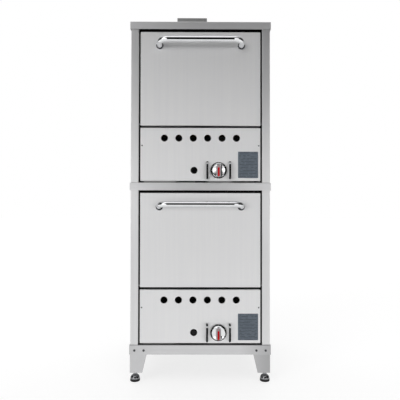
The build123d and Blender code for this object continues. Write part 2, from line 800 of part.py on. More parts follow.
def door_insulation():
    """Mineral wool inside the door, cut back round the hinge plates and the handle's nuts."""
    half = panel_half_width - casing_sheet - sheet_clearance
    wool = block(-half, half, casing_sheet, door_thickness - casing_sheet,
                 door_bottom + casing_sheet + sheet_clearance, door_top - casing_sheet - sheet_clearance)
    plate_room = block(half - hinge_plate_inset - 2 * hinge_plate_gauge, half + cut_past, 0, door_thickness,
                       door_bottom, door_bottom + hinge_plate_height + 2 * hinge_plate_inset)
    nut_room = round_bar("y", (handle_spacing / 2, 0, handle_height),
                         casing_sheet + nut_height + thread_end + 2 * hole_clearance,
                         nut_radius + 2 * hole_clearance)
    return wool - [*both_sides(plate_room), *both_sides(nut_room)]


def door_hinges():
    """Hinge plate in the door's lower corner, its pin through the post, and the spring lever."""
    skin_inside = panel_half_width - casing_sheet
    plate = block(skin_inside - hinge_plate_gauge, skin_inside, casing_sheet, door_thickness - casing_sheet,
                  door_bottom + hinge_plate_inset, door_bottom + hinge_plate_inset + hinge_plate_height)
    lever_start = lip_back + hinge_boss_length + lever_gap
    pin_start = skin_inside - hinge_plate_gauge
    pin = round_bar("x", (pin_start, hinge_inset, hinge_height), lever_start + lever_gauge - pin_start,
                    hinge_pin_radius)
    hub = round_bar("x", (lever_start, hinge_inset, hinge_height), lever_gauge, hinge_boss_radius)
    lever = block(lever_start, lever_start + lever_gauge, hinge_inset, hinge_inset + lever_reach,
                  hinge_height - lever_width / 2, hinge_height + lever_width / 2)
    tip = round_bar("x", (lever_start, hinge_inset + lever_reach, hinge_height), lever_gauge, lever_width / 2)
    return both_sides(plate + pin + hub + lever + tip)


def door_springs():
    """Spring from each hinge lever down to its bracket on the side wall."""
    x = lip_back + hinge_boss_length + lever_gap + lever_gauge / 2
    bottom = hinge_height - lever_width / 2 - spring_length
    coil = round_bar("z", (x, hinge_inset + lever_reach, bottom), spring_length, spring_radius)
    return both_sides(coil)


def handle_bar(radius, bore=0.0):
    """The handle's bent bar, from one foot on the door round to the other."""
    half = handle_spacing / 2
    route = [(-half, casing_sheet, handle_height), (-half, -handle_reach, handle_height + handle_rise),
             (half, -handle_reach, handle_height + handle_rise), (half, casing_sheet, handle_height)]
    return tube_along(route, handle_bend_radius, radius, bore)


def handle():
    """Bent tube handle with a plug, stud and nut at each end."""
    half = handle_spacing / 2
    low, high = handle_height - 2 * handle_radius, handle_height + 2 * handle_radius
    tube = handle_bar(handle_radius, handle_radius - handle_wall)
    tube -= block(-half - 2 * handle_radius, half + 2 * handle_radius, 0, handle_radius, low, high)
    foot_room = block(half - handle_radius, half + handle_radius, -handle_plug_length, 0, low, high)
    plug = handle_bar(handle_radius - handle_wall / 2) & foot_room
    stud = round_bar("y", (half, -join_overlap, handle_height), join_overlap + casing_sheet, bolt_radius)
    end = plug + stud + nut_and_thread((half, casing_sheet, handle_height))
    return tube + both_sides(end)


def handle_flanges():
    """Rosettes round the handle's feet."""
    outer = round_bar("y", (handle_spacing / 2, -handle_flange_thickness, handle_height),
                      handle_flange_thickness, handle_flange_radius)
    outer = fillet(outer.edges().group_by(Axis.Y)[0], handle_flange_thickness * round_over)
    return both_sides(outer - handle_bar(handle_radius + handle_flange_clearance))


# Stand, legs, feet and bolts
def stand_frame():
    """Angle frame under the lower oven."""
    low = stand_height - rail_height
    frame = block(-side_edge, side_edge, front_edge, rear_edge, low, stand_height)
    frame = fillet(frame.edges().filter_by(Axis.Z), bend_radius)
    frame -= block(-side_edge + rail_gauge, side_edge - rail_gauge, front_edge + rail_gauge,
                   rear_edge - rail_gauge, low, stand_height - rail_gauge)
    frame -= block(-side_edge + rail_flange_width, side_edge - rail_flange_width,
                   front_edge + rail_flange_width, rear_edge - rail_flange_width,
                   stand_height - rail_gauge - cut_past, stand_height)
    bolt_holes = corner_bolt_holes(stand_height - rail_gauge - cut_past, stand_height + cut_past)
    return frame - [*bolt_holes, *leg_bolt_holes()]


def leg_bolt_places():
    """Distance of each leg bolt from the leg's outer corner."""
    return [leg_bolt_inset, leg_bolt_inset + leg_bolt_pitch]


def four_corners(piece):
    """Copies of a front right piece for all four corners of the stand."""
    front = [mirror(piece, about=Plane.YZ), piece]
    rear = [Pos(0, body_depth, 0) * mirror(item, about=Plane.XZ) for item in front]
    return front + rear


def leg_bolt_holes():
    """Cutters through the frame and the legs, at all four corners."""
    radius = bolt_radius + hole_clearance
    depth = rail_gauge + leg_gauge + 2 * cut_past
    cutters = []
    for inset in leg_bolt_places():
        front_start = (leg_corner_x - inset, front_edge - cut_past, leg_bolt_height)
        side_start = (side_edge + cut_past - depth, leg_corner_y + inset, leg_bolt_height)
        cutters += four_corners(round_bar("y", front_start, depth, radius))
        cutters += four_corners(round_bar("x", side_start, depth, radius))
    return cutters


def front_right_leg():
    """Tapered angle leg with a foot plate and the threaded bush of its foot."""
    low = leg_bottom_height
    rail_low = stand_height - rail_height
    high = stand_height - rail_gauge
    outline = [(0, low), (leg_bottom_width, low), (leg_top_width, rail_low), (leg_top_width, high), (0, high)]
    front_points = [(leg_corner_x - across, z) for across, z in outline]
    side_points = [(leg_corner_y + across, z) for across, z in outline]
    front_face = Plane.XZ * make_face(Polyline(*front_points, close=True))
    side_face = Plane.YZ * make_face(Polyline(*side_points, close=True))
    leg = Pos(0, leg_corner_y, 0) * extrude(front_face, -leg_gauge)
    leg += Pos(leg_corner_x, 0, 0) * extrude(side_face, -leg_gauge)
    leg += block(leg_corner_x - foot_plate_size, leg_corner_x, leg_corner_y, leg_corner_y + foot_plate_size,
                 low, low + foot_plate_gauge)
    leg += round_bar("z", (foot_x, foot_y, low), foot_plate_gauge + bush_height, bush_radius)
    leg -= round_bar("z", (foot_x, foot_y, low - cut_past), foot_plate_gauge + bush_height + 2 * cut_past,
                     foot_stem_radius + thread_clearance)
    return leg - leg_bolt_holes()


def front_right_foot():
    """Screw-in levelling foot: rubber pad, domed metal base and stem."""
    pad = round_bar("z", (foot_x, foot_y, 0), foot_pad_height, foot_radius)
    pad = fillet(pad.edges().group_by(Axis.Z)[0], pad_edge_radius)
    rim_radius = foot_radius - pad_edge_radius / 2
    rim = (rim_radius, foot_pad_height)
    shoulder = (rim_radius, foot_pad_height + foot_wall_height)
    neck = (foot_neck_radius, foot_height)
    bulge = (foot_neck_radius + (rim_radius - foot_neck_radius) * dome_fullness,
             shoulder[1] + foot_dome_height * dome_fullness)
    stem_top = foot_height + foot_stem_length
    outline = ThreePointArc(shoulder, bulge, neck) + Polyline(neck, (foot_stem_radius, foot_height),
                                                              (foot_stem_radius, stem_top), (0, stem_top),
                                                              (0, foot_pad_height), rim, shoulder)
    base = revolve(Plane.XZ * make_face(outline), axis=Axis.Z)
    return [pad, Pos(foot_x, foot_y, 0) * base]


def frame_bolts():
    """Bolts and nuts of the legs, the stand and the stacked casings."""
    bolts = []
    leg_bolt = button_bolt(rail_gauge + leg_gauge)
    head_y = front_edge - bolt_head_height
    head_x = side_edge + bolt_head_height
    for inset in leg_bolt_places():
        bolts += four_corners(Pos(leg_corner_x - inset, head_y, leg_bolt_height) * leg_bolt)
        bolts += four_corners(Pos(head_x, leg_corner_y + inset, leg_bolt_height) * Rot(0, 0, 90) * leg_bolt)
    for base, grip_below in ((lower_base, rail_gauge), (upper_base, 2 * casing_sheet)):
        head_z = base + casing_sheet + bolt_head_height
        upright_bolt = Rot(-90, 0, 0) * button_bolt(casing_sheet + grip_below)
        bolts += [Pos(x, y, head_z) * upright_bolt for x, y in corner_bolt_places()]
    return bolts


def button_bolt(grip):
    """A round-head bolt with its nut, from the head's outer face back along y."""
    head = round_bar("y", (0, 0, 0), bolt_head_height, bolt_head_radius)
    head = fillet(head.edges().group_by(Axis.Y)[0], bolt_head_height * round_over)
    shank = round_bar("y", (0, bolt_head_height, 0), grip, bolt_radius)
    return head + shank + nut_and_thread((0, bolt_head_height + grip, 0))


# Flue
def flue_duct():
    """Duct of five sheets behind the chambers that leads both ovens' flue gas up into the riser."""
    left, right = duct_offset - duct_width / 2, duct_offset + duct_width / 2
    front, back = duct_front, duct_front + duct_depth
    low, high = lower_base + duct_bottom, oven_top + duct_entry
    front_sheet = block(left, right, front, front + casing_sheet, low, high)
    for base in (lower_base, upper_base):
        front_sheet -= Pos(0, 0, base) * flue_window(front - cut_past, front + casing_sheet + cut_past)
    inner_front, inner_back = front + casing_sheet, back - casing_sheet
    return [front_sheet, block(left, right, inner_back, back, low, high),
            block(left, left + casing_sheet, inner_front, inner_back, low, high),
            block(right - casing_sheet, right, inner_front, inner_back, low, high),
            block(left + casing_sheet, right - casing_sheet, inner_front, inner_back,
                  low, low + casing_sheet)]


def flue_riser():
    """Open riser on the upper cap, with the flange that fastens it."""
    half = riser_width / 2
    back = riser_front + riser_depth
    left, right = duct_offset - half, duct_offset + half
    riser = block(left, right, riser_front, back, oven_top, oven_top + riser_height)
    riser = fillet(riser.edges().filter_by(Axis.Z), bend_radius)
    riser += block(left - riser_flange, right + riser_flange, riser_front - riser_flange,
                   back + riser_flange, oven_top, oven_top + casing_sheet)
    return riser - block(left + casing_sheet, right - casing_sheet, riser_front + casing_sheet,
                         back - casing_sheet, oven_top - cut_past, oven_top + riser_height + cut_past)


# Both ovens
ovens = {"lower": lower_base, "upper": upper_base}
shared = {name: [] for name in ("panel_screws", "gas_pipes", "insulation_batts", "hearth_rails",
                                "dial_guards", "data_plates", "heat_baffles", "thermostat_bodies",
                                "safety_valves")}
for level, base in ovens.items():
    is_lower = level == "lower"
    place = Pos(0, 0, base)
    side_panel = place * right_side_panel()
    own = {
        "left_side_panel": [mirror(side_panel, about=Plane.YZ)],
        "right_side_panel": [side_panel],
        "rear_panel": [place * rear_panel(is_lower)],
        "top_cap": [place * top_cap(is_lower)],
        "base_pan": [place * base_pan(not is_lower, panel_rest_depths[level])],
        "face_frame": [place * face_frame()],
        "oven_liner": [place * sheet for sheet in oven_liner()],
        "hearths": [place * deck for deck in hearths()],
        "burner": [place * piece for piece in burner()],
        "control_panel": [place * control_panel()],
        "valve_button": [place * valve_button()],
        "dial": [place * piece for piece in dial()],
        "door_skin": [place * door_skin()],
        "door_liner": [place * door_liner()],
        "door_insulation": [place * door_insulation()],
        "door_hinges": [place * hinge for hinge in door_hinges()],
        "door_springs": [place * spring for spring in door_springs()],
        "handle": [place * handle()],
        "handle_flanges": [place * flange for flange in handle_flanges()],
    }
    for name, pieces in own.items():
        save(f"{level}_{name}", *pieces)
    shared["panel_screws"] += [place * screw for screw in panel_screws()]
    shared["gas_pipes"] += [place * pipe for pipe in gas_line() + gas_run()]
    shared["insulation_batts"] += [place * batt for batt in insulation_batts()]
    shared["hearth_rails"] += [place * rail for rail in hearth_rails()]
    shared["dial_guards"] += [place * guard for guard in dial_guards()]
    shared["data_plates"].append(place * data_plate())
    shared["heat_baffles"].append(place * heat_baffle())
    shared["thermostat_bodies"].append(place * thermostat_body())
    shared["safety_valves"].append(place * safety_valve())

# What both ovens share, and the stand
shared["gas_pipes"] += gas_riser()
for name, pieces in shared.items():
    save(name, *pieces)
save("stand_frame", stand_frame())
corner_names = ("front_left", "front_right", "rear_left", "rear_right")
for corner, leg in zip(corner_names, four_corners(front_right_leg())):
    save(f"{corner}_leg", leg)
pad, base_and_stem = front_right_foot()
for corner, pad_copy, stem_copy in zip(corner_names, four_corners(pad), four_corners(base_and_stem)):
    save(f"{corner}_foot", pad_copy, stem_copy)
save("frame_bolts", *frame_bolts())
save("flue_duct", *flue_duct())
save("flue_riser", flue_riser())
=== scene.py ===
import math

import bmesh
import bpy
from mathutils import Matrix, Vector, noise as pointNoise


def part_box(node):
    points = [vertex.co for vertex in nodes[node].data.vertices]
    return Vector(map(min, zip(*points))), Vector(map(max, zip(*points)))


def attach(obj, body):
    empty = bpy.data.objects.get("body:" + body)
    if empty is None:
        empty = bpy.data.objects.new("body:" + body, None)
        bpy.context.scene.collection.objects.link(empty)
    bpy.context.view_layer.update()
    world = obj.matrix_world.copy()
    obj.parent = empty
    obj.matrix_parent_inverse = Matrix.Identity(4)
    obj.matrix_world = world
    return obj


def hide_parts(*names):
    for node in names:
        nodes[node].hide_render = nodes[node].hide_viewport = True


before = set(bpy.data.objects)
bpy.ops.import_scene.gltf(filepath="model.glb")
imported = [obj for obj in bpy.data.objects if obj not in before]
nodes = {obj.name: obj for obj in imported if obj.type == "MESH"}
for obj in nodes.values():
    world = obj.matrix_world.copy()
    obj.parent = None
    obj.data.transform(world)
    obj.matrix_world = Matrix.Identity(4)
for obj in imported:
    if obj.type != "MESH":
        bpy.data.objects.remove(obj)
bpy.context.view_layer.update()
levels = ("lower", "upper")
print("frame loaded:", len(nodes), "nodes")

# Camera: straight in front, a little below half height, tilted up as the casing's slight taper shows
cameraSettings = {
    "place": (-0.014, -2.844, 0.993),
    "lens": 39.27,
    "sensor": 36.0,
    "tilt": 0.713,       # degrees up
    "turn": 0.284,       # degrees to the right
    "roll": 0.111,
    "reach": 200.0,      # m, past the far edge of the floor
}


def makeCamera(settings):
    data = bpy.data.cameras.new("camera")
    data.sensor_width = settings["sensor"]
    data.lens = settings["lens"]
    data.clip_end = settings["reach"]
    camera = bpy.data.objects.new("camera", data)
    camera.matrix_world = (Matrix.Translation(settings["place"])
                           @ Matrix.Rotation(-math.radians(settings["turn"]), 4, "Z")
                           @ Matrix.Rotation(math.radians(90 + settings["tilt"]), 4, "X")
                           @ Matrix.Rotation(math.radians(settings["roll"]), 4, "Z"))
    bpy.context.scene.collection.objects.link(camera)
    bpy.context.scene.camera = camera


makeCamera(cameraSettings)
bpy.context.scene.view_settings.view_transform = "Standard"
print("camera ready")


# Helpers for materials
noiseRoughness = 0.55        # how much the finer layers of a noise weigh


def linearColour(code):
    channels = [int(code[i:i + 2], 16) / 255 for i in (1, 3, 5)]
    return (*[c / 12.92 if c <= 0.04045 else ((c + 0.055) / 1.055) ** 2.4 for c in channels], 1.0)


def setSockets(node, values):
    for socket, value in values.items():
        if isinstance(value, bpy.types.NodeSocket):
            node.id_data.links.new(value, node.inputs[socket])
        else:
            node.inputs[socket].default_value = value


def addNode(tree, kind, inputs=None, **settings):
    node = tree.nodes.new("ShaderNode" + kind)
    for name, value in settings.items():
        setattr(node, name, value)
    setSockets(node, inputs or {})
    return node


def newMaterial(name):
    material = bpy.data.materials.new(name)
    material.use_nodes = True
    tree = material.node_tree
    return material, tree, tree.nodes["Principled BSDF"]


def axisParts(tree):
    coords = addNode(tree, "TexCoord").outputs["Object"]
    return addNode(tree, "SeparateXYZ", {"Vector": coords}).outputs


def noise(tree, size, detail=4.0):
    sizes = size if isinstance(size, tuple) else (size, size, size)      # mm along x, y and z
    coords = addNode(tree, "TexCoord").outputs["Object"]
    placed = addNode(tree, "Mapping", {"Vector": coords, "Scale": [1000.0 / each for each in sizes]})
    return addNode(tree, "TexNoise", {"Vector": placed.outputs["Vector"], "Scale": 1.0, "Detail": detail,
                                      "Roughness": noiseRoughness}).outputs["Fac"]


def remap(tree, value, low, high, fromLow=0.3, fromHigh=0.7):
    # left at its defaults it takes the range that a noise keeps to
    return addNode(tree, "MapRange", {"Value": value, "From Min": fromLow, "From Max": fromHigh,
                                      "To Min": low, "To Max": high}).outputs["Result"]


def rise(tree, value, edges):
    return remap(tree, value, 0.0, 1.0, *edges)


def fall(tree, value, edges):
    return remap(tree, value, 1.0, 0.0, *edges)


def between(tree, share, pair):
    return remap(tree, share, *pair, 0.0, 1.0)


def calculate(tree, operation, first, second=0.0):
    return addNode(tree, "Math", {0: first, 1: second}, operation=operation).outputs[0]


def mixColours(tree, factor, first, second):
    colours = [linearColour(colour) if isinstance(colour, str) else colour for colour in (first, second)]
    mix = addNode(tree, "Mix", {0: factor, 6: colours[0], 7: colours[1]}, data_type="RGBA")
    return mix.outputs[2]


def bump(tree, shader, height, distance, strength=1.0):
    normal = addNode(tree, "Bump", {"Height": height, "Distance": distance, "Strength": strength})
    setSockets(shader, {"Normal": normal.outputs["Normal"]})


# Stainless sheet, No. 4 brushed. The doors' grain runs up and down, so they spread what they reflect
# to both sides. The casing's inner sides, seen through the gaps, carry painted shade: dark and dull, so
# that the gaps look shadowed.
steelSettings = {
    "doorSteel": {"light": "#efefef", "dark": "#ebebec", "roughness": 0.54, "grain": "z",
                  "anisotropy": 0.71},                                # doors and panels, a broad pale sheen
    # the casing's last colour is painted shade on its inner sides, seen through the gaps
    "casingSteel": {"light": "#dfdfdf", "dark": "#d8d8d9", "roughness": 0.36, "grain": "z",
                    "anisotropy": 0.1, "inside": "#3a3a3a"},          # posts and sides, shinier
    "rearSteel": {"light": "#c4c4c4", "dark": "#b9b9ba", "roughness": 0.42, "grain": "z",
                  "anisotropy": 0.1},                                 # plain grey back
    "capSteel": {"light": "#dededf", "dark": "#d7d7d8", "roughness": 0.41, "grain": "x",
                 "anisotropy": 0.35},                                 # grain along the skirt
    "railSteel": {"light": "#d6d6d7", "dark": "#cfcfd0", "roughness": 0.42, "grain": "x",
                  "anisotropy": 0.4, "ends": ("#cacacb", "#b6b6b7")},     # painted shade: left and right ends darker
    # the legs' last pair of colours is painted shade, darkest on the right leg
    "legSteel": {"light": "#cfcfd0", "dark": "#c6c6c7", "roughness": 0.4, "grain": "x",
                 "anisotropy": 0.3, "ends": ("#cccccd", "#adadae")},
    "flueSteel": {"light": "#b4b4b4", "dark": "#a8a8a8", "roughness": 0.38, "grain": "z",
                  "anisotropy": 0.3},                                 # a darker grey than the casing
    "millSteel": {"light": "#9a9a9a", "dark": "#8b8b8b", "roughness": 0.5, "grain": "x",
                  "anisotropy": 0.2},                                 # unpolished underside
}
grainSettings = {
    "length": 160.0,       # mm, how far one brush mark runs
    "width": 0.9,          # mm, coarser than the real 0.1 mm marks so that they show up close
    "detail": 2.0,
    "bandLength": 960.0,   # mm, of the faint bands left by the belt
    "bandWidth": 14.0,
    "tintEdges": (0.12, 0.4),               # of marks times bands, from the dark to the light tint
    "roughnessSpread": 0.03,
    "bumpDepth": 0.00002,
    "bumpStrength": 0.25,
    # The next four place the painted shade inside the gaps and dull it
    "insideDepth": (-0.3768, -0.3745),      # where the posts' front turns into their inner side
    "insideWidth": (0.3922, 0.3930),        # and the side walls' inner from their outer face
    "insideRear": 0.421,                    # the rear flanges' outer face lies behind this
    "insideRoughness": 0.7,
    "paintedEndShadeReach": (0.22, 0.38),               # m from the middle, over which the painted shade on the stand's ends comes in
}


def grainSizes(axis, length, width):
    return tuple(length if name == axis else width for name in "xyz")


def insideMask(tree, settings):
    # the area that takes the painted shade: the posts' and sides' inner faces, ahead of the rear flanges
    parts = axisParts(tree)
    behind = rise(tree, parts["Y"], settings["insideDepth"])
    within = fall(tree, calculate(tree, "ABSOLUTE", parts["X"]), settings["insideWidth"])
    ahead = calculate(tree, "LESS_THAN", parts["Y"], settings["insideRear"])
    return calculate(tree, "MULTIPLY", ahead, calculate(tree, "MULTIPLY", behind, within))


def makeBrushedSteel(name, settings, grain):
    material, tree, shader = newMaterial(name)
    marks = noise(tree, grainSizes(settings["grain"], grain["length"], grain["width"]), grain["detail"])
    bands = noise(tree, grainSizes(settings["grain"], grain["bandLength"], grain["bandWidth"]))
    tint = rise(tree, calculate(tree, "MULTIPLY", marks, bands), grain["tintEdges"])
    colour = mixColours(tree, tint, settings["dark"], settings["light"])
    rough = remap(tree, marks, settings["roughness"] - grain["roughnessSpread"],
                  settings["roughness"] + grain["roughnessSpread"])
    # painted shade: the stand's left and right ends darkened by their place along x
    if "ends" in settings:
        across = axisParts(tree)["X"]
        for sign, end in zip((-1.0, 1.0), settings["ends"]):
            outward = calculate(tree, "MULTIPLY", across, sign)
            colour = mixColours(tree, rise(tree, outward, grain["paintedEndShadeReach"]), colour, end)
    if "inside" in settings:
        # painted shade on the inner sides seen through the gaps, made duller as well
        inside = insideMask(tree, grain)
        colour = mixColours(tree, inside, colour, settings["inside"])
        rough = calculate(tree, "MAXIMUM", rough,
                          calculate(tree, "MULTIPLY", inside, grain["insideRoughness"]))
    setSockets(shader, {"Base Color": colour, "Roughness": rough, "Metallic": 1.0,
                        "Anisotropic": settings["anisotropy"]})
    bump(tree, shader, marks, grain["bumpDepth"], grain["bumpStrength"])
    return material


materials = {name: makeBrushedSteel(name, settings, grainSettings)
             for name, settings in steelSettings.items()}
print("stainless ready")

# Metals without a brushed grain: a light and a dark colour, the least and the most roughness, and the
# mottling's size and depth in mm
metalSettings = {
    "polishedChrome": ("#e6e7e8", "#dfe0e2", 0.015, 0.04, 40.0, 0.0),     # a mirror, faintly wiped
    "flangeChrome": ("#66676a", "#545558", 0.1, 0.18, 20.0, 0.0),         # plated rosettes, darker
    "aluminisedSteel": ("#a9a9a6", "#8f8f8c", 0.38, 0.55, 7.0, 0.01),     # hot-dipped, a soft spangle
    "paintedShadeBlack": ("#2a2a2a", "#1d1d1d", 0.55, 0.7, 9.0, 0.02),   # painted shade: black and dull, so that the gaps round the doors look dark
    "zincPlate": ("#8e9093", "#77797c", 0.3, 0.45, 3.0, 0.004),           # bluish grey, half bright
    "boltSteel": ("#5c5d5f", "#4c4d4f", 0.35, 0.5, 3.0, 0.004),           # dull dark bolt heads
    "castIron": ("#35322f", "#25221f", 0.6, 0.8, 2.0, 0.25),              # sand cast, dark and grainy
    "blackIronPipe": ("#2a2826", "#1b1a19", 0.45, 0.65, 5.0, 0.05),       # mill scale under lacquer
    "tarnishedBrass": ("#4f4638", "#3a342b", 0.4, 0.55, 4.0, 0.02),       # forged, dulled by heat
}

# Moulded, mineral, enamelled and fibrous surfaces: the same values, and how fine the mottling gets
plainSettings = {
    "blackButton": ("#0c0c0d", "#070707", 0.16, 0.24, 1.0, 0.006, 2.0),   # moulded ABS, glossy
    "whiteEnamel": ("#ecece8", "#e2e2dd", 0.35, 0.45, 1.0, 0.004, 2.0),   # filled marks, half matt
    "hearthStone": ("#c9b48c", "#a58a61", 0.8, 0.95, 2.5, 0.5, 6.0),      # pressed cordierite, pitted
    "mineralWool": ("#b9ad86", "#8d8058", 0.95, 1.0, 1.5, 1.5, 8.0),      # bonded fibre board, matt
}
buttonSpecular = 0.2         # kept low, so that the button stays black beside the bright sheet


def makeMottled(name, light, dark, smooth, dull, size, depth, detail=4.0, metallic=1.0):
    material, tree, shader = newMaterial(name)
    spots = noise(tree, size, detail)
    setSockets(shader, {"Base Color": mixColours(tree, remap(tree, spots, 0.0, 1.0), dark, light),
                        "Roughness": remap(tree, spots, smooth, dull), "Metallic": metallic})
    if depth:
        bump(tree, shader, spots, depth / 1000)
    return material


for name, values in metalSettings.items():
    materials[name] = makeMottled(name, *values)
for name, values in plainSettings.items():
    materials[name] = makeMottled(name, *values, metallic=0.0)
setSockets(materials["blackButton"].node_tree.nodes["Principled BSDF"],
           {"Specular IOR Level": buttonSpecular})
print("metals and plain finishes ready")

# Dial: plated die casting with a black skirt and a red enamelled pointer
dialSettings = {
    "chrome": "#e6e7e8",
    "skirt": "#232426",
    "satin": "#c4c5c7",
    "red": "#f2081a",
    "redEdge": (-0.4036, -0.4032),      # just in front of the grip's face
    "gripEdge": (-0.4012, -0.4004),     # the grip's face is satin, its sides are bright
    "skirtEdge": (0.0398, 0.0404),      # m from the dial's axis
    "roughness": (0.04, 0.09),          # of the bright plating
    "skirtRoughness": 0.2,              # added to that
    "satinRoughness": 0.45,
    "specular": 0.25,
    "wipeSize": 1000 / 60,              # mm, sixty wiping marks to a metre
    "centreX": 0.103,
    "panelFace": -0.37825,
    "heights": {"lower": 0.2775, "upper": 1.1915},
}


def makeDialMaterial(level, settings):
    material, tree, shader = newMaterial(level + "DialChrome")
    parts = axisParts(tree)
    offsets = (calculate(tree, "SUBTRACT", parts["X"], settings["centreX"]),
               calculate(tree, "SUBTRACT", parts["Z"], settings["heights"][level]))
    squares = [calculate(tree, "MULTIPLY", offset, offset) for offset in offsets]
    radius = calculate(tree, "SQRT", calculate(tree, "ADD", *squares))
    skirt = rise(tree, radius, settings["skirtEdge"])
    grip = fall(tree, parts["Y"], settings["gripEdge"])
    red = fall(tree, parts["Y"], settings["redEdge"])
    colour = mixColours(tree, skirt, settings["chrome"], settings["skirt"])
    colour = mixColours(tree, grip, colour, settings["satin"])
    colour = mixColours(tree, red, colour, settings["red"])
    rough = calculate(tree, "ADD", remap(tree, noise(tree, settings["wipeSize"]), *settings["roughness"]),
                      calculate(tree, "MULTIPLY", skirt, settings["skirtRoughness"]))
    rough = calculate(tree, "MAXIMUM", rough,
                      calculate(tree, "MULTIPLY", grip, settings["satinRoughness"]))
    setSockets(shader, {"Base Color": colour, "Roughness": rough,
                        "Metallic": between(tree, grip, (1.0, 0.0)),
                        "Specular IOR Level": settings["specular"]})
    return material


for level in levels:
    materials[level + "DialChrome"] = makeDialMaterial(level, dialSettings)


def joinFinishes(tree, shader, mask, settings):
    # the first finish where the mask is 0, the second where it is 1, both mottled alike
    spots = noise(tree, settings["spotSize"], settings["detail"])
    spread = remap(tree, spots, 0.0, 1.0)
    colours = [mixColours(tree, spread, *pair) for pair in settings["colours"]]
    setSockets(shader, {"Base Color": mixColours(tree, mask, *colours),
                        "Roughness": between(tree, mask, settings["roughness"]),
                        "Metallic": between(tree, mask, settings["metallic"])})
    return spots


# Guard rods: dark over most of their length, with a painted highlight in a band just below their top bend
guardSettings = {
    # the second pair of colours is the painted highlight
    "colours": (("#2b2c2e", "#1f2022"), ("#e4e5e6", "#dcddde")),
    "roughness": (0.16, 0.4),
    "metallic": (1.0, 0.4),
    "spotSize": 4.0,                      # mm
    "detail": 3.0,
    "paintedHighlightSpan": (0.0335, 0.0425),       # m above the dial's axis, of the painted highlight
}


def makeGuardMaterial(settings):
    material, tree, shader = newMaterial("guardRod")
    height = axisParts(tree)["Z"]
    # the band that takes the painted highlight, at both levels
    low, high = settings["paintedHighlightSpan"]
    mask = 0.0
    for level in levels:
        away = calculate(tree, "SUBTRACT", height, dialSettings["heights"][level] + (low + high) / 2)
        near = calculate(tree, "LESS_THAN", calculate(tree, "ABSOLUTE", away), (high - low) / 2)
        mask = calculate(tree, "MAXIMUM", near, mask)
    joinFinishes(tree, shader, mask, settings)
    return material


materials["guardRod"] = makeGuardMaterial(guardSettings)

# Feet: nickel plated base, smooth and bright, over a dull black moulded rubber pad
footSettings = {
    "colours": (("#8f9092", "#77787a"), ("#161616", "#0e0e0e")),
    "roughness": (0.14, 0.75),
    "metallic": (1.0, 0.0),
    "spotSize": 2.5,                      # mm
    "detail": 4.0,
    "padTop": (0.0128, 0.0132),           # m above the floor
    "bumpDepth": 0.00004,
    "bumpStrength": 0.3,
}


def makeFootMaterial(settings):
    material, tree, shader = newMaterial("footMetal")
    mask = fall(tree, axisParts(tree)["Z"], settings["padTop"])
    spots = joinFinishes(tree, shader, mask, settings)
    bump(tree, shader, spots, settings["bumpDepth"], settings["bumpStrength"])
    return material


materials["footMetal"] = makeFootMaterial(footSettings)

# Data plate: slate blue printed foil with an empty ruled form
plateSettings = {
    "ground": ("#828d99", "#77828e"),
    "rule": "#515c68",
    "roughness": (0.4, 0.5),
    "spotSize": 1000 / 330,       # mm, of the foil's faint mottling
    "spotDetail": 3.0,
    "pitch": 8.5,                 # mm from line to line, wide enough to show
    "share": 0.42,                # of the pitch that is ruled
    "margin": 7.0,                # mm
    "breakSizes": (1000 / 60, 1000.0, 1000 / 118),      # mm, of the places where a rule grows faint
    "breakDetail": 1.0,
    "breakEdges": (0.4, 0.5),
    "breakShades": (0.25, 1.0),
    "bumpDepth": 0.00002,
    "bumpStrength": 0.4,
}


def makePlateMaterial(settings):
    material, tree, shader = newMaterial("slatePlate")
    low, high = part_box("data_plates")
    parts = axisParts(tree)
    spots = noise(tree, settings["spotSize"], settings["spotDetail"])
    ground = mixColours(tree, remap(tree, spots, 0.0, 1.0), *settings["ground"])
    rows = calculate(tree, "FRACT", calculate(tree, "MULTIPLY", parts["Z"], 1000.0 / settings["pitch"]))
    ruled = calculate(tree, "LESS_THAN", rows, settings["share"])
    margin = settings["margin"] / 1000
    for test, edge in (("GREATER_THAN", low.x + margin), ("LESS_THAN", high.x - margin)):
        ruled = calculate(tree, "MULTIPLY", ruled, calculate(tree, test, parts["X"], edge))
    breaks = noise(tree, settings["breakSizes"], settings["breakDetail"])
    ruled = calculate(tree, "MULTIPLY", ruled,
                      remap(tree, breaks, *settings["breakShades"], *settings["breakEdges"]))
    setSockets(shader, {"Base Color": mixColours(tree, ruled, ground, settings["rule"]),
                        "Roughness": remap(tree, spots, *settings["roughness"])})
    bump(tree, shader, ruled, settings["bumpDepth"], settings["bumpStrength"])
    return material


materials["slatePlate"] = makePlateMaterial(plateSettings)
print("other finishes ready")

# Which finish each node takes, by the end of its name
nodeFinish = {
    "side_panel": "casingSteel", "rear_panel": "rearSteel", "top_cap": "capSteel", "base_pan": "millSteel",
    "face_frame": "paintedShadeBlack", "oven_liner": "aluminisedSteel", "hearths": "hearthStone",
    "burner": "castIron", "control_panel": "doorSteel", "valve_button": "blackButton",
    "lower_dial": "lowerDialChrome", "upper_dial": "upperDialChrome", "door_skin": "doorSteel",
    "door_liner": "aluminisedSteel", "door_insulation": "mineralWool", "door_hinges": "zincPlate",
    "door_springs": "zincPlate", "handle": "polishedChrome", "handle_flanges": "flangeChrome",
    "panel_screws": "zincPlate", "gas_pipes": "blackIronPipe", "insulation_batts": "mineralWool",
    "hearth_rails": "aluminisedSteel", "dial_guards": "guardRod", "data_plates": "slatePlate",
    "heat_baffles": "aluminisedSteel", "thermostat_bodies": "tarnishedBrass",
    "safety_valves": "tarnishedBrass", "stand_frame": "railSteel", "leg": "legSteel", "foot": "footMetal",
    "frame_bolts": "boltSteel", "flue_duct": "aluminisedSteel", "flue_riser": "flueSteel",
}


def finishOf(node):
    endings = [ending for ending in nodeFinish if node == ending or node.endswith("_" + ending)]
    return nodeFinish[max(endings, key=len)]


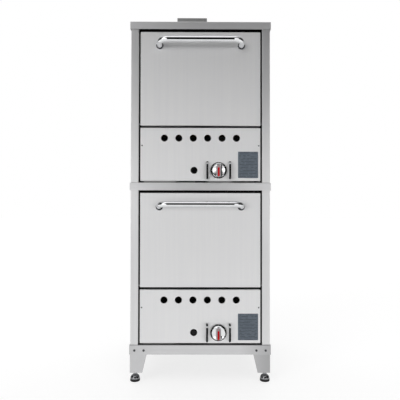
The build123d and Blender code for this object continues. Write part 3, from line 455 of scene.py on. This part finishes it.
for node, piece in nodes.items():
    piece.data.materials.clear()
    piece.data.materials.append(materials[finishOf(node)])
print("finishes assigned")


# New pieces. Each is drawn in the row frame, so its object stays at the origin
mergeDistance = 0.00001


def addMesh(shape, mesh, part):
    # moves a finished bmesh into the shape that it is part of
    part.to_mesh(mesh)
    part.free()
    shape.from_mesh(mesh)
    bpy.data.meshes.remove(mesh)


def finishPiece(name, shape, finish, body, smooth=True):
    bmesh.ops.remove_doubles(shape, verts=shape.verts, dist=mergeDistance)
    bmesh.ops.recalc_face_normals(shape, faces=shape.faces)
    mesh = bpy.data.meshes.new(name)
    shape.to_mesh(mesh)
    shape.free()
    mesh.materials.append(materials[finish])
    for face in mesh.polygons:
        face.use_smooth = smooth
    piece = bpy.data.objects.new(name, mesh)
    bpy.context.scene.collection.objects.link(piece)
    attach(piece, body)
    return piece


# Mineral wool: bonded boards with soft edges, pressed in where a nut stands against them
woolSettings = {
    "clearance": 0.0015,
    "cuts": 14,
    "soften": 3,            # rounds of smoothing that round the edges
    "softness": 0.5,        # of one round
    "lumpSize": 0.09,
    "lumpDepth": 0.003,
    "nutRoom": 0.03,        # how far round a handle's nut the wool is pressed in
    "nutDepth": 0.0105,
    "nutOffset": 0.2315,
    "nutFacing": -0.5,      # only what faces the nuts more than this is pressed in
    "handleDrop": 0.079,    # of the handle's studs below the door's top
    "hingeRoom": (0.016, 0.064),      # width and height cut back for a hinge plate
    "fromDoor": (0.007, 0.556),       # of the casing's boards above the door's lower edge
    "sideFront": -0.29325,
    "sideFace": 0.3917,
    "sheet": 0.0015,
    "duct": (-0.1305, 0.0155, 0.3667),      # the room left for the flue duct: left, right, rear
    "rearFace": 0.4173,
}


def softBoard(shape, low, high, settings, nuts=()):
    low = Vector(low) + Vector([settings["clearance"]] * 3)
    high = Vector(high) - Vector([settings["clearance"]] * 3)
    size, middle = high - low, (high + low) / 2
    board = bmesh.new()
    place = Matrix.Translation(middle) @ Matrix.Diagonal((*size, 1.0))
    bmesh.ops.create_cube(board, size=1.0, matrix=place)
    bmesh.ops.subdivide_edges(board, edges=board.edges, cuts=settings["cuts"], use_grid_fill=True)
    for step in range(settings["soften"]):
        bmesh.ops.smooth_vert(board, verts=board.verts, factor=settings["softness"], use_axis_x=True,
                              use_axis_y=True, use_axis_z=True)
    board.normal_update()
    moves = []
    for vert in board.verts:
        lump = pointNoise.noise(vert.co / settings["lumpSize"])      # from -1 to 1
        depth = settings["lumpDepth"] * (0.5 + 0.5 * lump)
        for nut in nuts:
            if vert.normal.y < settings["nutFacing"]:
                away = Vector((vert.co.x - nut[0], 0, vert.co.z - nut[1])).length / settings["nutRoom"]
                depth = max(depth, settings["nutDepth"] * max(0.0, 1.0 - away * away))
        moves.append(vert.co - vert.normal * depth)
    for vert, place in zip(board.verts, moves):
        vert.co = place
    addMesh(shape, bpy.data.meshes.new("board"), board)


def makeCasingWool(settings):
    shape = bmesh.new()
    outer, rear = settings["sideFace"], settings["rearFace"]
    ductLeft, ductRight, ductRear = settings["duct"]
    for level in levels:
        inner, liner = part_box(level + "_oven_liner")
        bottom, top = [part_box(level + "_door_skin")[0].z + height for height in settings["fromDoor"]]
        front, back = settings["sideFront"], liner.y - settings["sheet"]
        for low, high in (((-outer, front, bottom), (inner.x, back, top)),
                          ((liner.x, front, bottom), (outer, back, top)),
                          ((inner.x, inner.y, liner.z), (liner.x, back, top)),
                          ((inner.x, liner.y, bottom), (ductLeft, rear, top)),
                          ((ductRight, liner.y, bottom), (liner.x, rear, top)),
                          ((ductLeft, ductRear, bottom), (ductRight, rear, top))):
            softBoard(shape, low, high, settings)
    wool = finishPiece("casing_wool", shape, "mineralWool", "casing")
    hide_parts("insulation_batts")


def makeDoorWool(level, settings):
    low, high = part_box(level + "_door_insulation")
    width, height = settings["hingeRoom"]
    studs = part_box(level + "_door_skin")[1].z - settings["handleDrop"]
    nuts = [(side * settings["nutOffset"], studs) for side in (-1, 1)]
    shape = bmesh.new()
    softBoard(shape, (low.x + width, low.y, low.z), (high.x - width, high.y, high.z), settings, nuts)
    for left, right in ((low.x, low.x + width), (high.x - width, high.x)):
        softBoard(shape, (left, low.y, low.z + height), (right, high.y, high.z), settings)
    wool = finishPiece(level + "_door_wool", shape, "mineralWool", level + "_door")
    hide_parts(level + "_door_insulation")


makeCasingWool(woolSettings)
for level in levels:
    makeDoorWool(level, woolSettings)
print("mineral wool ready")

# Door springs: close wound, with a hook at each end
springSettings = {
    "wire": 0.0012,         # the wire's radius
    "pitch": 0.0032,
    "steps": 14,            # along one turn
    "sides": 6,             # round the wire
    "hook": 0.016,          # of each end, taken up by its hook
}


def wireRing(shape, centre, settings, across):
    # the wire's section, which spin then sweeps
    turned = Matrix.Translation(centre) @ Matrix.Rotation(math.radians(90), 4, across)
    verts = bmesh.ops.create_circle(shape, segments=settings["sides"], radius=settings["wire"],
                                    matrix=turned)["verts"]
    return verts + list(dict.fromkeys(edge for vert in verts for edge in vert.link_edges))


def makeSprings(level, settings):
    low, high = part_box(level + "_door_springs")
    outer = (high.y - low.y) / 2
    coil = outer - settings["wire"]
    middleY = (low.y + high.y) / 2
    bottom, top = low.z + settings["hook"], high.z - settings["hook"]
    turnCount = int((top - bottom) / settings["pitch"])
    stepCount = turnCount * settings["steps"]
    hookRadius = settings["hook"] / 2 - settings["wire"]
    shape = bmesh.new()
    for centreX in (low.x + outer, high.x - outer):
        ring = wireRing(shape, (centreX + coil, middleY, bottom), settings, "X")
        bmesh.ops.spin(shape, geom=ring, cent=(centreX, middleY, 0), axis=(0, 0, 1),
                       dvec=(0, 0, (top - bottom) / stepCount), angle=2 * math.pi * turnCount,
                       steps=stepCount)
        for end, sign in ((bottom, -1), (top, 1)):
            eye = (centreX, middleY, end + sign * settings["hook"] / 2)
            ring = wireRing(shape, (centreX, middleY + hookRadius, eye[2]), settings, "Z")
            bmesh.ops.spin(shape, geom=ring, cent=eye, axis=(1, 0, 0), dvec=(0, 0, 0),
                           angle=math.radians(360), steps=settings["steps"], use_merge=True)
    springs = finishPiece(level + "_spring_coils", shape, "zincPlate", "casing")
    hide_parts(level + "_door_springs")


for level in levels:
    makeSprings(level, springSettings)
print("springs ready")

# Marks and figures on the dial's skirt, which slopes back from its inner edge
markSettings = {
    "inner": (0.037, 0.015),      # radius, and distance in front of the panel
    "outer": (0.046, 0.008),
    "tick": (0.0009, 0.0030, 0.0004),      # width, length, height
    "tickPlace": 0.78,            # from the inner to the outer edge
    "figureSize": 0.0056,
    "figurePlace": 0.28,
    "firstAngle": 60,             # degrees clockwise from the rest mark
    "step": 30,                   # from figure to figure, with a tick at each and half way
    "count": 9,
}


def skirtPlace(settings, share, angle, level):
    turn = math.radians(angle)
    outward = Vector((math.sin(turn), 0, math.cos(turn)))
    along = Vector((math.cos(turn), 0, -math.sin(turn)))
    (innerRadius, innerReach), (outerRadius, outerReach) = settings["inner"], settings["outer"]
    slope = (outward * (outerRadius - innerRadius) + Vector((0, innerReach - outerReach, 0))).normalized()
    normal = along.cross(slope)
    radius = innerRadius + (outerRadius - innerRadius) * share
    reach = innerReach + (outerReach - innerReach) * share
    centre = Vector((dialSettings["centreX"], dialSettings["panelFace"] - reach,
                     dialSettings["heights"][level])) + outward * radius
    turned = Matrix((along, slope, normal)).transposed().to_4x4()
    return Matrix.Translation(centre) @ turned


def makeDialMarks(level, settings):
    shape = bmesh.new()
    lastAngle = settings["firstAngle"] + settings["step"] * (settings["count"] - 1)
    for angle in (0, *range(settings["firstAngle"], lastAngle + 1, settings["step"] // 2)):
        place = skirtPlace(settings, settings["tickPlace"], angle, level)
        bmesh.ops.create_cube(shape, size=1.0, matrix=place @ Matrix.Diagonal((*settings["tick"], 1.0)))
    for number in range(1, settings["count"] + 1):
        text = bpy.data.curves.new("figure", "FONT")
        text.body = str(number)
        text.size = settings["figureSize"]
        text.align_x = "CENTER"
        text.align_y = "CENTER"
        text.extrude = settings["tick"][2] / 2
        holder = bpy.data.objects.new("figure", text)
        figure = bpy.data.meshes.new_from_object(holder)
        angle = settings["firstAngle"] + settings["step"] * (number - 1)
        figure.transform(skirtPlace(settings, settings["figurePlace"], angle, level))
        shape.from_mesh(figure)
        bpy.data.objects.remove(holder)
        bpy.data.curves.remove(text)
        bpy.data.meshes.remove(figure)
    finishPiece(level + "_dial_marks", shape, "whiteEnamel", level + "_dial", smooth=False)


for level in levels:
    makeDialMarks(level, markSettings)
print("dial marks ready")

# Round-head screws that hold the rear flanges to the rear panels
rearScrewSettings = {
    "radius": 0.0045,
    "height": 0.0024,
    "segments": 20,
    "rings": 10,            # half of them are cut away behind the flange's face
    "inset": 0.0075,        # from the casing's side
    "endGap": 0.05,
    "count": 6,
    "face": 0.42175,        # the rear flanges' outer face
    "halfWidth": 0.3935,
}


def makeRearScrews(settings):
    shape = bmesh.new()
    face, radius = settings["face"], settings["radius"]
    for level in levels:
        low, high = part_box(level + "_rear_panel")
        first, last = low.z + settings["endGap"], high.z - settings["endGap"]
        for index in range(settings["count"]):
            z = first + (last - first) * index / (settings["count"] - 1)
            for side in (-1, 1):
                x = side * (settings["halfWidth"] - settings["inset"])
                head = bmesh.new()
                place = (Matrix.Translation((x, face, z))
                         @ Matrix.Diagonal((radius, settings["height"], radius, 1.0))
                         @ Matrix.Rotation(math.radians(90), 4, "X"))
                bmesh.ops.create_uvsphere(head, u_segments=settings["segments"],
                                          v_segments=settings["rings"], radius=1.0, matrix=place)
                bmesh.ops.bisect_plane(head, geom=head.verts[:] + head.edges[:] + head.faces[:],
                                       plane_co=(0, face, 0), plane_no=(0, 1, 0), clear_inner=True)
                bmesh.ops.holes_fill(head, edges=head.edges)
                addMesh(shape, bpy.data.meshes.new("head"), head)
    finishPiece("rear_screws", shape, "zincPlate", "casing")


makeRearScrews(rearScrewSettings)
print("rear screws ready")

# Studio. The camera sees white all round, and so does metal behind the object. In front metal sees
# the room: bright on the left and overhead, darker on the right, and dark in a band in front
roomSettings = {
    "elevations": (-90, 0, 5, 10, 15, 20, 25, 30, 36, 42, 50, 60, 75, 90),
    "front": (2.7, 2.7, 1.55, 0.65, 0.08, 0.03, 0.0, 0.0, 0.0, 0.21, 0.67, 1.12, 1.29, 1.34),
    "left": (2.1, 2.1, 2.2, 2.35, 2.25, 1.9, 1.45, 1.0, 1.1, 1.3, 1.45, 1.45, 1.3, 1.2),
    "right": (1.35, 1.35, 1.75, 1.75, 1.2, 0.45, 0.0, 0.0, 0.0, 0.3, 0.9, 1.2, 1.25, 1.2),
    "edge": (0.5, 0.02, 0.02, 0.02, 0.02, 0.02, 0.02, 0.02, 0.03, 0.05, 0.2, 0.6, 1.1, 1.2),
    "brightest": 3.0,            # a ramp holds no more than 1, so the levels are shares of this
    "white": 1.0,                # behind the object, and all round for the camera
    "frontEdge": (10, 35),       # degrees to either side where the front gives way to the sides
    "sideEdge": (50, 60),        # the sides to black cloth just out of the picture
    "rightNearer": 8,            # degrees by which the cloth on the right is nearer the front
    "backEdge": (110, 130),      # and that to the white behind
}
floorSettings = {
    "colour": "#9c9c9c",
    "roughness": 0.9,
    "specular": 0.1,
    "lift": 0.76,                # added for the camera, metal and glass, so that the floor is nearly white
    "size": 60.0,
}
flagSettings = {                 # black cloth behind the camera, which only reflections show
    "colour": "#050505",
    "low": (-0.52, -3.0, 0.1),
    "high": (0.52, -3.0, 2.6),
}


def rampOf(tree, height, settings, side):
    ramp = addNode(tree, "ValToRGB", {"Fac": height})
    stops = ramp.color_ramp.elements
    for index, (degrees, level) in enumerate(zip(settings["elevations"], settings[side])):
        place = (math.sin(math.radians(degrees)) + 1) / 2
        stop = stops[index] if index < 2 else stops.new(place)      # a new ramp has two stops
        stop.position = place
        stop.color = (*[level / settings["brightest"]] * 3, 1.0)
    return ramp.outputs["Color"]


def makeRoom(settings):
    world = bpy.data.worlds.new("room")
    bpy.context.scene.world = world
    world.use_nodes = True
    tree = world.node_tree
    tree.nodes.clear()
    direction = addNode(tree, "TexCoord").outputs["Generated"]
    parts = addNode(tree, "SeparateXYZ", {"Vector": direction}).outputs
    height = rise(tree, parts["Z"], (-1.0, 1.0))
    front, left, right, edge = [rampOf(tree, height, settings, side)
                                for side in ("front", "left", "right", "edge")]
    forward = calculate(tree, "MULTIPLY", parts["Y"], -1.0)
    turn = calculate(tree, "ARCTAN2", parts["X"], forward)
    spread = calculate(tree, "ABSOLUTE", turn)
    isRight = calculate(tree, "GREATER_THAN", turn)
    nearer = calculate(tree, "MULTIPLY", isRight, math.radians(settings["rightNearer"]))
    outward = calculate(tree, "ADD", spread, nearer)
    frontEdge, sideEdge, backEdge = [[math.radians(angle) for angle in settings[name]]
                                     for name in ("frontEdge", "sideEdge", "backEdge")]
    behind = (*[settings["white"] / settings["brightest"]] * 3, 1.0)
    room = mixColours(tree, isRight, left, right)
    room = mixColours(tree, rise(tree, spread, frontEdge), front, room)
    room = mixColours(tree, rise(tree, outward, sideEdge), room, edge)
    room = mixColours(tree, rise(tree, spread, backEdge), room, behind)
    light = addNode(tree, "Background", {"Color": room, "Strength": settings["brightest"]})
    white = addNode(tree, "Background", {"Color": (1, 1, 1, 1), "Strength": settings["white"]})
    path = addNode(tree, "LightPath").outputs
    seen = calculate(tree, "MAXIMUM", path["Is Camera Ray"], path["Is Transmission Ray"])
    mix = addNode(tree, "MixShader", {0: seen, 1: light.outputs[0], 2: white.outputs[0]})
    addNode(tree, "OutputWorld", {"Surface": mix.outputs[0]})


def makeStagePiece(name, shape, material):
    mesh = bpy.data.meshes.new(name)
    shape.to_mesh(mesh)
    shape.free()
    mesh.materials.append(material)
    piece = bpy.data.objects.new(name, mesh)
    bpy.context.scene.collection.objects.link(piece)
    return piece


def makeFloor(settings):
    shape = bmesh.new()
    bmesh.ops.create_grid(shape, x_segments=1, y_segments=1, size=settings["size"] / 2)
    material, tree, shader = newMaterial("paleFloor")
    path = addNode(tree, "LightPath").outputs
    seen = calculate(tree, "MAXIMUM", path["Is Camera Ray"], path["Is Glossy Ray"])
    seen = calculate(tree, "MAXIMUM", seen, path["Is Transmission Ray"])
    setSockets(shader, {"Base Color": linearColour(settings["colour"]), "Roughness": settings["roughness"],
                        "Specular IOR Level": settings["specular"], "Emission Color": (1, 1, 1, 1),
                        "Emission Strength": calculate(tree, "MULTIPLY", seen, settings["lift"])})
    makeStagePiece("floor", shape, material)


def makeFlag(settings):
    low, high = Vector(settings["low"]), Vector(settings["high"])
    place = (Matrix.Translation((low + high) / 2)
             @ Matrix.Diagonal((high.x - low.x, 1.0, high.z - low.z, 1.0))
             @ Matrix.Rotation(math.radians(90), 4, "X"))
    shape = bmesh.new()
    bmesh.ops.create_grid(shape, x_segments=1, y_segments=1, size=0.5, matrix=place)
    material, tree, shader = newMaterial("blackCloth")
    setSockets(shader, {"Base Color": linearColour(settings["colour"]), "Roughness": 1.0,
                        "Specular IOR Level": 0.0})
    flag = makeStagePiece("flag", shape, material)
    flag.visible_camera = False


makeRoom(roomSettings)
makeFloor(floorSettings)
makeFlag(flagSettings)
print("studio ready")
